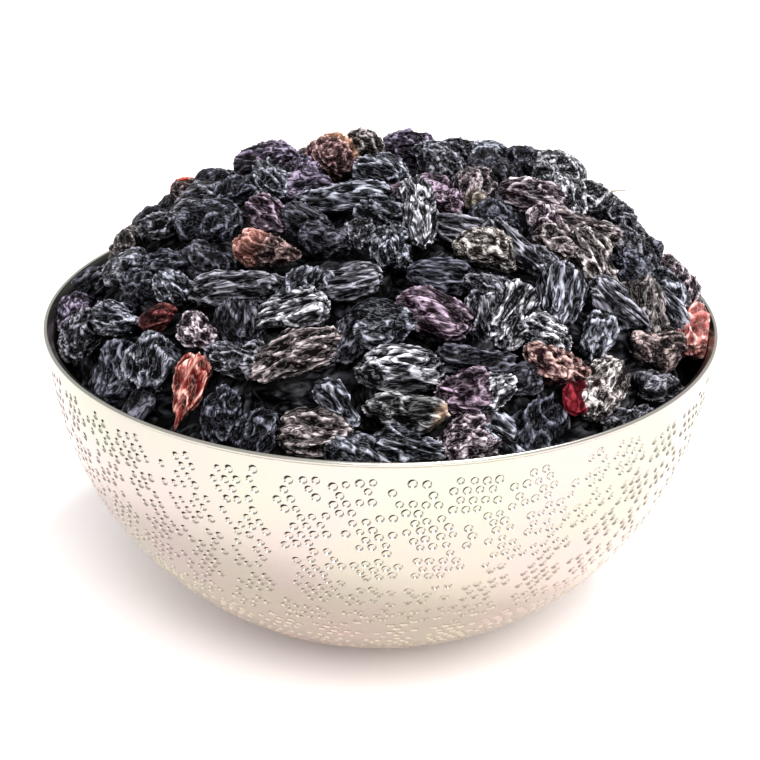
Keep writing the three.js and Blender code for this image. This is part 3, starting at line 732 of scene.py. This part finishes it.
def raisin_skin(name, crease_size, gloss):
    """Thin dried skin: dark valleys, ridges pale with dust and painted highlight, and creases that
    flow along the raisin.

    Share of the ridge colour = hairlines * 0.25 + height on the ridge * broken lines. The rest
    is the valley colour, scaled by painted shade: darker the lower the point lies, lighter the
    higher.
    """
    material, nodes, links, principled = shader(name)
    valley, top, ridge, grain = (nodes.new("ShaderNodeAttribute") for _ in range(4))
    valley.attribute_name = "valley_colour"
    top.attribute_name = "ridge_colour"
    ridge.attribute_name = "ridge"
    grain.attribute_name = "grain"

    def wavy_lines(scale, levels, sharpness):
        """Level lines of a stretched noise: (triangle wave of noise * levels) ^ sharpness."""
        creases = nodes.new("ShaderNodeTexNoise")
        creases.inputs["Scale"].default_value = scale
        creases.inputs["Detail"].default_value = 2
        creases.inputs["Roughness"].default_value = 0.5
        creases.inputs["Distortion"].default_value = 0.4
        level = nodes.new("ShaderNodeMath")
        level.operation = "MULTIPLY"
        level.inputs[1].default_value = levels
        wave = nodes.new("ShaderNodeMath")
        wave.operation = "PINGPONG"
        wave.inputs[1].default_value = 1.0
        crest = nodes.new("ShaderNodeMath")
        crest.operation = "POWER"
        crest.inputs[1].default_value = sharpness
        links.new(grain.outputs["Vector"], creases.inputs["Vector"])
        links.new(creases.outputs["Fac"], level.inputs[0])
        links.new(level.outputs[0], wave.inputs[0])
        links.new(wave.outputs[0], crest.inputs[0])
        return crest.outputs[0]

    lines = wavy_lines(1 / crease_size, 11, 1.2)
    hairlines = wavy_lines(2.1 / crease_size, 7, 4.0)
    # Painted shade: the valley colour darkens in the low places of the skin and lightens on the high
    # ones.
    crease_shade = nodes.new("ShaderNodeMapRange")
    crease_shade.inputs["From Max"].default_value = 0.7
    crease_shade.inputs["To Min"].default_value = 0.1
    crease_shade.inputs["To Max"].default_value = 1.3
    ground = nodes.new("ShaderNodeVectorMath")
    ground.operation = "SCALE"
    on_ridge = nodes.new("ShaderNodeMapRange")
    on_ridge.interpolation_type = "SMOOTHSTEP"
    on_ridge.inputs["From Min"].default_value = 0.34
    on_ridge.inputs["From Max"].default_value = 0.8
    broken = nodes.new("ShaderNodeMapRange")
    broken.inputs["To Min"].default_value = 0.0
    broken.inputs["To Max"].default_value = 1.0
    crest_tone = nodes.new("ShaderNodeMath")
    crest_tone.operation = "MULTIPLY"
    # Where the ridge colour shows, on crests and lines: bloom and painted highlight.
    amount = nodes.new("ShaderNodeMath")
    amount.operation = "MULTIPLY_ADD"
    amount.inputs[1].default_value = 0.25
    amount.use_clamp = True
    mix = nodes.new("ShaderNodeMix")
    mix.data_type = "RGBA"
    bump = nodes.new("ShaderNodeBump")
    bump.inputs["Strength"].default_value = 1.0
    bump.inputs["Distance"].default_value = 0.00014
    shine = nodes.new("ShaderNodeMapRange")
    shine.inputs["To Min"].default_value = gloss
    shine.inputs["To Max"].default_value = gloss + 0.2
    principled.inputs["Specular IOR Level"].default_value = 0.08

    links.new(ridge.outputs["Fac"], crease_shade.inputs["Value"])
    links.new(valley.outputs["Color"], ground.inputs[0])
    links.new(crease_shade.outputs["Result"], ground.inputs["Scale"])
    links.new(ridge.outputs["Fac"], on_ridge.inputs["Value"])
    links.new(lines, broken.inputs["Value"])
    links.new(on_ridge.outputs["Result"], crest_tone.inputs[0])
    links.new(broken.outputs["Result"], crest_tone.inputs[1])
    links.new(hairlines, amount.inputs[0])
    links.new(crest_tone.outputs[0], amount.inputs[2])
    links.new(amount.outputs[0], mix.inputs["Factor"])
    links.new(ground.outputs["Vector"], mix.inputs["A"])
    links.new(top.outputs["Color"], mix.inputs["B"])
    links.new(mix.outputs["Result"], principled.inputs["Base Color"])
    links.new(lines, bump.inputs["Height"])
    links.new(bump.outputs["Normal"], principled.inputs["Normal"])
    links.new(amount.outputs[0], shine.inputs["Value"])
    links.new(shine.outputs["Result"], principled.inputs["Roughness"])
    return material


def listed_places(rows):
    """The seven numbers of each row, with the lengths brought to metres."""
    metres = (0.001, 0.001, 0.001, 0.001, 1, 0.001, 1)
    return np.array([row[:7] for row in rows], dtype=float) * metres


def spiral_places(taken):
    """Places on a golden-angle spiral that lie clear of the listed raisins and of each other."""
    rows = [tuple(place) for place in taken]
    for i in range(SPIRAL_COUNT):
        reach = SPIRAL_REACH * math.sqrt((i + 0.5) / SPIRAL_COUNT)
        x = reach * math.cos(i * GOLDEN_ANGLE) + SPIRAL_WOBBLE * (chance(i, 3) - 0.5)
        y = reach * math.sin(i * GOLDEN_ANGLE) + SPIRAL_WOBBLE * (chance(i, 4) - 0.5)
        length = FAR_LENGTHS[0] + (FAR_LENGTHS[1] - FAR_LENGTHS[0]) * chance(i, 5)
        width = FAR_WIDTHS[0] + (FAR_WIDTHS[1] - FAR_WIDTHS[0]) * chance(i, 6)
        others = np.array(rows)
        room = SPIRAL_SPACING * (length + width + others[:, 2] + others[:, 3]) / 4
        drop = heap_top(x, y) - heap_top(others[:, 0], others[:, 1])
        apart = np.sqrt((x - others[:, 0]) ** 2 + (y - others[:, 1]) ** 2 + drop ** 2)
        if np.all(apart > room):
            rise = FAR_RISES[0] + (FAR_RISES[1] - FAR_RISES[0]) * chance(i, 8)
            rows.append((x, y, length, width, 360 * chance(i, 7), rise, FAR_TAPER))
    return np.array(rows[len(taken):])


# The rows of the redder raisins stand here, because the spiral keeps clear of them too.
REDDER_RAISINS = {
    "raisin_scarlet": (-32.5, -46, 12.5, 5.6, -120, 1, 0.5, "scarlet", "ridged"),
    "raisin_rust": (-40, -29.5, 8, 5.5, 15, 0, 0, "rust", "smooth"),
    "raisin_red_topped": (-20, -22, 13, 7, 155, 0.5, -0.3, "red_topped", "crinkled"),
    "raisin_red_tipped": (-40, 20, 10, 7, 105, 1.5, 0, "red_tipped", "crinkled"),
    "raisin_amber_topped": (-10, 23, 11, 9.5, 60, 1.5, 0, "amber_topped", "crinkled"),
    "raisin_pink": (60, -12.5, 13.5, 9, 75, 2.5, 0, "pink", "ridged"),
    "raisin_grey_pink": (51, -27, 15, 8.5, 25, 0.5, -0.1, "grey_pink", "smooth"),
    "raisin_brown_red": (30, -43, 12, 6, -8, 0, 0.15, "brown_red", "crinkled"),
    "raisin_crimson": (33, -46.5, 7, 4.5, 95, 0, 0.1, "crimson", "smooth"),
}

black_skin = raisin_skin("black_raisin_skin", 0.0018, 0.28)
listed = [*CROWN_RAISINS, *LEFT_RAISINS, *FRONT_RAISINS, *RIGHT_RAISINS]
listed_count = len(listed)
first = 0
shown_pieces = []
for name, rows in (("raisins_crown", CROWN_RAISINS), ("raisins_left", LEFT_RAISINS),
                   ("raisins_front", FRONT_RAISINS), ("raisins_right", RIGHT_RAISINS)):
    skins = raisin_skins(
        listed_places(rows), [row[7] for row in rows], [row[8] for row in rows],
        np.arange(first, first + len(rows)), *SHOWN_NET)
    shown_pieces.append((name, raisin_mesh(name, skins)))
    first += len(rows)

far_places = spiral_places(listed_places([*listed, *REDDER_RAISINS.values()]))
far_index = np.arange(listed_count, listed_count + len(far_places))
far_looks = [FAR_LOOKS[int(len(FAR_LOOKS) * chance(i, 9))] for i in far_index]
far_wrinkles = [FAR_WRINKLES[int(len(FAR_WRINKLES) * chance(i, 10))] for i in far_index]
far_skins = raisin_skins(far_places, far_looks, far_wrinkles, far_index, *FAR_NET)
shown_pieces.append(("raisins_far", raisin_mesh("raisins_far", far_skins)))
for name, mesh in shown_pieces:
    new_piece(name, mesh, black_skin, "black_raisin", "raisins_black")


# The redder raisins
# A few grapes dried red, pink or amber instead of black. They lie loose among the others, and
# their skin has the same ridges, with less bloom. As on the black ones, their ridge colour is
# partly painted highlight.
LOOKS.update({
    "scarlet": ((0.190, 0.022, 0.018), (0.96, 0.68, 0.60)),
    "rust": ((0.032, 0.005, 0.007), (0.38, 0.15, 0.14)),
    "red_topped": ((0.018, 0.006, 0.008), (0.56, 0.42, 0.40), (0.88, 0.58, 0.53), -0.1),
    "red_tipped": ((0.008, 0.004, 0.005), (0.42, 0.33, 0.33), (0.80, 0.22, 0.15), -0.1),
    "amber_topped": ((0.045, 0.018, 0.021), (0.68, 0.48, 0.47), (0.98, 0.72, 0.58), 0.0),
    "pink": ((0.400, 0.135, 0.120), (0.95, 0.76, 0.72)),
    "grey_pink": ((0.018, 0.010, 0.011), (0.62, 0.51, 0.50)),
    "brown_red": ((0.030, 0.006, 0.009), (0.78, 0.57, 0.53)),
    "crimson": ((0.070, 0.003, 0.008), (0.34, 0.05, 0.07)),
})
REDDER_NET = (72, 48)
REDDER_SLOTS = {
    "raisin_scarlet": "scarlet_raisin",
    "raisin_rust": "rust_raisin",
    "raisin_red_topped": "rose_raisin",
    "raisin_red_tipped": "wine_raisin",
    "raisin_amber_topped": "amber_raisin",
    "raisin_pink": "pink_raisin",
    "raisin_grey_pink": "rose_raisin",
    "raisin_brown_red": "wine_raisin",
    "raisin_crimson": "crimson_raisin",
}

red_skin = raisin_skin("red_raisin_skin", 0.0020, 0.28)
first_red = listed_count + len(far_places)
for order, (node, row) in enumerate(REDDER_RAISINS.items()):
    skins = raisin_skins(listed_places([row]), [row[7]], [row[8]],
                         np.array([first_red + order]), *REDDER_NET)
    new_piece(f"{node}_skin", raisin_mesh(node, skins), red_skin, REDDER_SLOTS[node], node)


# The stub of a stalk
# A dry straw-coloured end of the stem that one raisin near the right of the heap grew on. It is
# thin and a little bent, and its root sits in the raisin's tip.
STALK_ROOT = (0.0416, 0.0105, 0.0814)
STALK_END = (0.0470, 0.0100, 0.0824)
STALK_RADII = (0.00028, 0.00018)
STALK_BEND = 0.0002
STALK_AROUND = 10
STALK_RINGS = 8


def stalk_mesh():
    """A tube from root to end: radius shrinks evenly, and the middle is lifted by bend * sin."""
    share = np.linspace(0, 1, STALK_RINGS)[:, None]
    turn = (np.arange(STALK_AROUND) * 2 * math.pi / STALK_AROUND)[None, :]
    radius = STALK_RADII[0] + (STALK_RADII[1] - STALK_RADII[0]) * share
    root, end = np.array(STALK_ROOT), np.array(STALK_END)
    middle = root + (end - root) * share[..., None]
    middle = middle + np.array([0, 0, STALK_BEND]) * np.sin(math.pi * share)[..., None]
    around = np.stack([0 * turn, np.cos(turn), np.sin(turn)], axis=-1)
    rings = middle + radius[..., None] * around
    ids = np.arange(STALK_RINGS * STALK_AROUND).reshape(STALK_RINGS, STALK_AROUND)
    after = np.roll(ids, -1, axis=1)
    quads = np.stack([ids[:-1], after[:-1], after[1:], ids[1:]], axis=-1).reshape(-1, 4)
    caps = [ids[0][::-1].tolist(), ids[-1].tolist()]
    mesh = bpy.data.meshes.new("stalk_stub")
    mesh.from_pydata(rings.reshape(-1, 3).tolist(), [], quads.tolist() + caps)
    mesh.shade_smooth()
    return mesh


def stalk_straw():
    """Dry straw, pale brown, mottled by a noise that is stretched along the stalk."""
    material, nodes, links, principled = shader("dry_stalk")
    place = nodes.new("ShaderNodeTexCoord")
    stretch = nodes.new("ShaderNodeMapping")
    stretch.inputs["Scale"].default_value = (0.3, 1, 1)
    mottle = nodes.new("ShaderNodeTexNoise")
    mottle.inputs["Scale"].default_value = 2500
    straw = nodes.new("ShaderNodeValToRGB")
    straw.color_ramp.elements[0].color = (0.36, 0.31, 0.25, 1)
    straw.color_ramp.elements[1].color = (0.76, 0.70, 0.60, 1)
    principled.inputs["Roughness"].default_value = 0.7
    links.new(place.outputs["Object"], stretch.inputs["Vector"])
    links.new(stretch.outputs["Vector"], mottle.inputs["Vector"])
    links.new(mottle.outputs["Fac"], straw.inputs["Fac"])
    links.new(straw.outputs["Color"], principled.inputs["Base Color"])
    return material


new_piece("stalk_stub", stalk_mesh(), stalk_straw(), "black_raisin")


# The raisins under the outer layer
# The rest of the bowl's raisins, seen only as dark shapes down in the gaps. Those just under the
# outer layer are whole, and what lies deeper is one dark body that fills the bowl. Both are
# painted darker than the raisins above them, as painted shade.
# A darker copy of the black look: painted shade for the raisins down in the gaps.
LOOKS["deep_black"] = ((0.0016, 0.0016, 0.0021), (0.110, 0.110, 0.124))
UNDER_COUNT = 170
UNDER_REACH = 0.0592
UNDER_DEPTHS = (0.0052, 0.0084)
UNDER_LENGTHS = (0.012, 0.015)
UNDER_WIDTHS = (0.009, 0.011)
UNDER_START = 1.3
UNDER_FIRST = 500
UNDER_NET = (22, 16)
CORE_DEPTH = 0.0085
CORE_AROUND = 64
CORE_RINGS = 14

under_turn = np.arange(UNDER_COUNT) * GOLDEN_ANGLE + UNDER_START
under_reach = UNDER_REACH * np.sqrt((np.arange(UNDER_COUNT) + 0.5) / UNDER_COUNT)
under_index = np.arange(UNDER_COUNT) + UNDER_FIRST
under_places = np.stack([
    under_reach * np.cos(under_turn),
    under_reach * np.sin(under_turn),
    UNDER_LENGTHS[0] + (UNDER_LENGTHS[1] - UNDER_LENGTHS[0]) * chance(under_index, 5),
    UNDER_WIDTHS[0] + (UNDER_WIDTHS[1] - UNDER_WIDTHS[0]) * chance(under_index, 6),
    360 * chance(under_index, 7),
    -UNDER_DEPTHS[0] - (UNDER_DEPTHS[1] - UNDER_DEPTHS[0]) * chance(under_index, 8),
    np.full(UNDER_COUNT, FAR_TAPER),
], axis=-1)
under_skins = raisin_skins(under_places, ["deep_black"] * UNDER_COUNT, ["ridged"] * UNDER_COUNT,
                           under_index, *UNDER_NET)
new_piece("raisins_under", raisin_mesh("raisins_under", under_skins),
          raisin_skin("under_raisin_skin", 0.0030, 0.45), "black_raisin", "raisins_black")


def core_mesh():
    """A dome sunk under the heap's skin, closed by the inside of the wall, as rings of quads."""
    turn = (np.arange(CORE_AROUND) * 2 * math.pi / CORE_AROUND)[None, :]
    share = np.linspace(0, 1, CORE_RINGS)[1:, None]
    x = CROWN_X * (1 - share) + EDGE_RADIUS * share * np.cos(turn)
    y = EDGE_RADIUS * share * np.sin(turn)
    dome = np.stack([x, y, heap_top(x, y)], axis=-1) - CORE_DEPTH * heap_normal(x, y)
    edge = dome[-1, :, 2].min() - 0.001
    heights = wall_heights(WALL + WALL_GAP, edge, CORE_RINGS)[::-1][:, None] + 0 * turn
    radii = wall_radius(heights, WALL + WALL_GAP)
    wall = np.stack([radii * np.cos(turn), radii * np.sin(turn), heights], axis=-1)
    rings = inside_wall(np.concatenate([dome, wall]))
    ids = np.arange(rings.shape[0] * CORE_AROUND).reshape(-1, CORE_AROUND)
    after = np.roll(ids, -1, axis=1)
    quads = np.stack([ids[:-1], ids[1:], after[1:], after[:-1]], axis=-1).reshape(-1, 4)
    top, bottom = ids.size, ids.size + 1
    caps = np.vstack([
        np.stack([np.full(CORE_AROUND, top), ids[0], after[0]], axis=-1),
        np.stack([np.full(CORE_AROUND, bottom), after[-1], ids[-1]], axis=-1),
    ])
    crown = [CROWN_X, 0, float(heap_top(CROWN_X, 0.0)) - CORE_DEPTH]
    points = np.vstack([rings.reshape(-1, 3), [crown, [0, 0, WALL + WALL_GAP]]])
    mesh = bpy.data.meshes.new("raisins_deep")
    mesh.from_pydata(points.tolist(), [], quads.tolist() + caps.tolist())
    mesh.shade_smooth()
    return mesh


def deep_skin():
    """Raisin skin painted near black as shade, with a low bump of lumps a raisin wide."""
    material, nodes, links, principled = shader("deep_raisin_skin")
    # Painted shade: a near-black colour for the deep raisins.
    principled.inputs["Base Color"].default_value = (0.006, 0.006, 0.007, 1)
    principled.inputs["Roughness"].default_value = 0.6
    principled.inputs["Specular IOR Level"].default_value = 0.1
    place = nodes.new("ShaderNodeTexCoord")
    lumps = nodes.new("ShaderNodeTexVoronoi")
    lumps.inputs["Scale"].default_value = 110
    bump = nodes.new("ShaderNodeBump")
    bump.inputs["Distance"].default_value = 0.002
    bump.invert = True
    links.new(place.outputs["Object"], lumps.inputs["Vector"])
    links.new(lumps.outputs["Distance"], bump.inputs["Height"])
    links.new(bump.outputs["Normal"], principled.inputs["Normal"])
    return material


new_piece("raisins_deep", core_mesh(), deep_skin(), "black_raisin", "raisins_black")


# The table and the light
# A white table top in a bright white room, with a faint glow of its own: painted light that
# lightens the shadows on it. One small soft light hangs high on the right and a broad one stands
# in front, so a faint shadow falls to the left.
TABLE_REACH = 3.0
SOFT_LIGHTS = (
    # name, place, aimed at, side, watts
    ("key", (0.40, 0.12, 1.30), (0, 0, 0.05), 0.3, 10.5),
    ("front_softbox", (0.25, -1.00, 1.10), (0, 0, 0.05), 0.7, 17.0),
)

table_mesh = bpy.data.meshes.new("table")
table_mesh.from_pydata(
    [(-TABLE_REACH, -TABLE_REACH, 0), (TABLE_REACH, -TABLE_REACH, 0),
     (TABLE_REACH, TABLE_REACH, 0), (-TABLE_REACH, TABLE_REACH, 0)], [], [(0, 1, 2, 3)])
table_material, _, _, table_shader = shader("white_table")
table_shader.inputs["Base Color"].default_value = (0.96, 0.92, 0.915, 1)
table_shader.inputs["Roughness"].default_value = 0.8
# Painted light: the table top glows faintly, lifting the bowl's shadow.
table_shader.inputs["Emission Color"].default_value = (1.0, 0.955, 0.96, 1)
table_shader.inputs["Emission Strength"].default_value = 0.14
table_mesh.materials.append(table_material)
table = bpy.data.objects.new("table", table_mesh)
bpy.context.collection.objects.link(table)

for name, place, aim, side, watts in SOFT_LIGHTS:
    light_data = bpy.data.lights.new(name, "AREA")
    light_data.size = side
    light_data.energy = watts
    light = bpy.data.objects.new(name, light_data)
    away = np.array(place) - np.array(aim)
    light.location = place
    light.rotation_euler = (
        math.atan2(math.hypot(away[0], away[1]), away[2]), 0, math.atan2(away[0], -away[1]))
    bpy.context.collection.objects.link(light)

world = bpy.data.worlds.new("white_room")
world.use_nodes = True
world.node_tree.nodes["Background"].inputs["Color"].default_value = (1, 1, 1, 1)
world.node_tree.nodes["Background"].inputs["Strength"].default_value = 0.76
bpy.context.scene.world = world
bpy.context.scene.view_settings.view_transform = "Standard"
bpy.context.scene.view_settings.gamma = 0.8
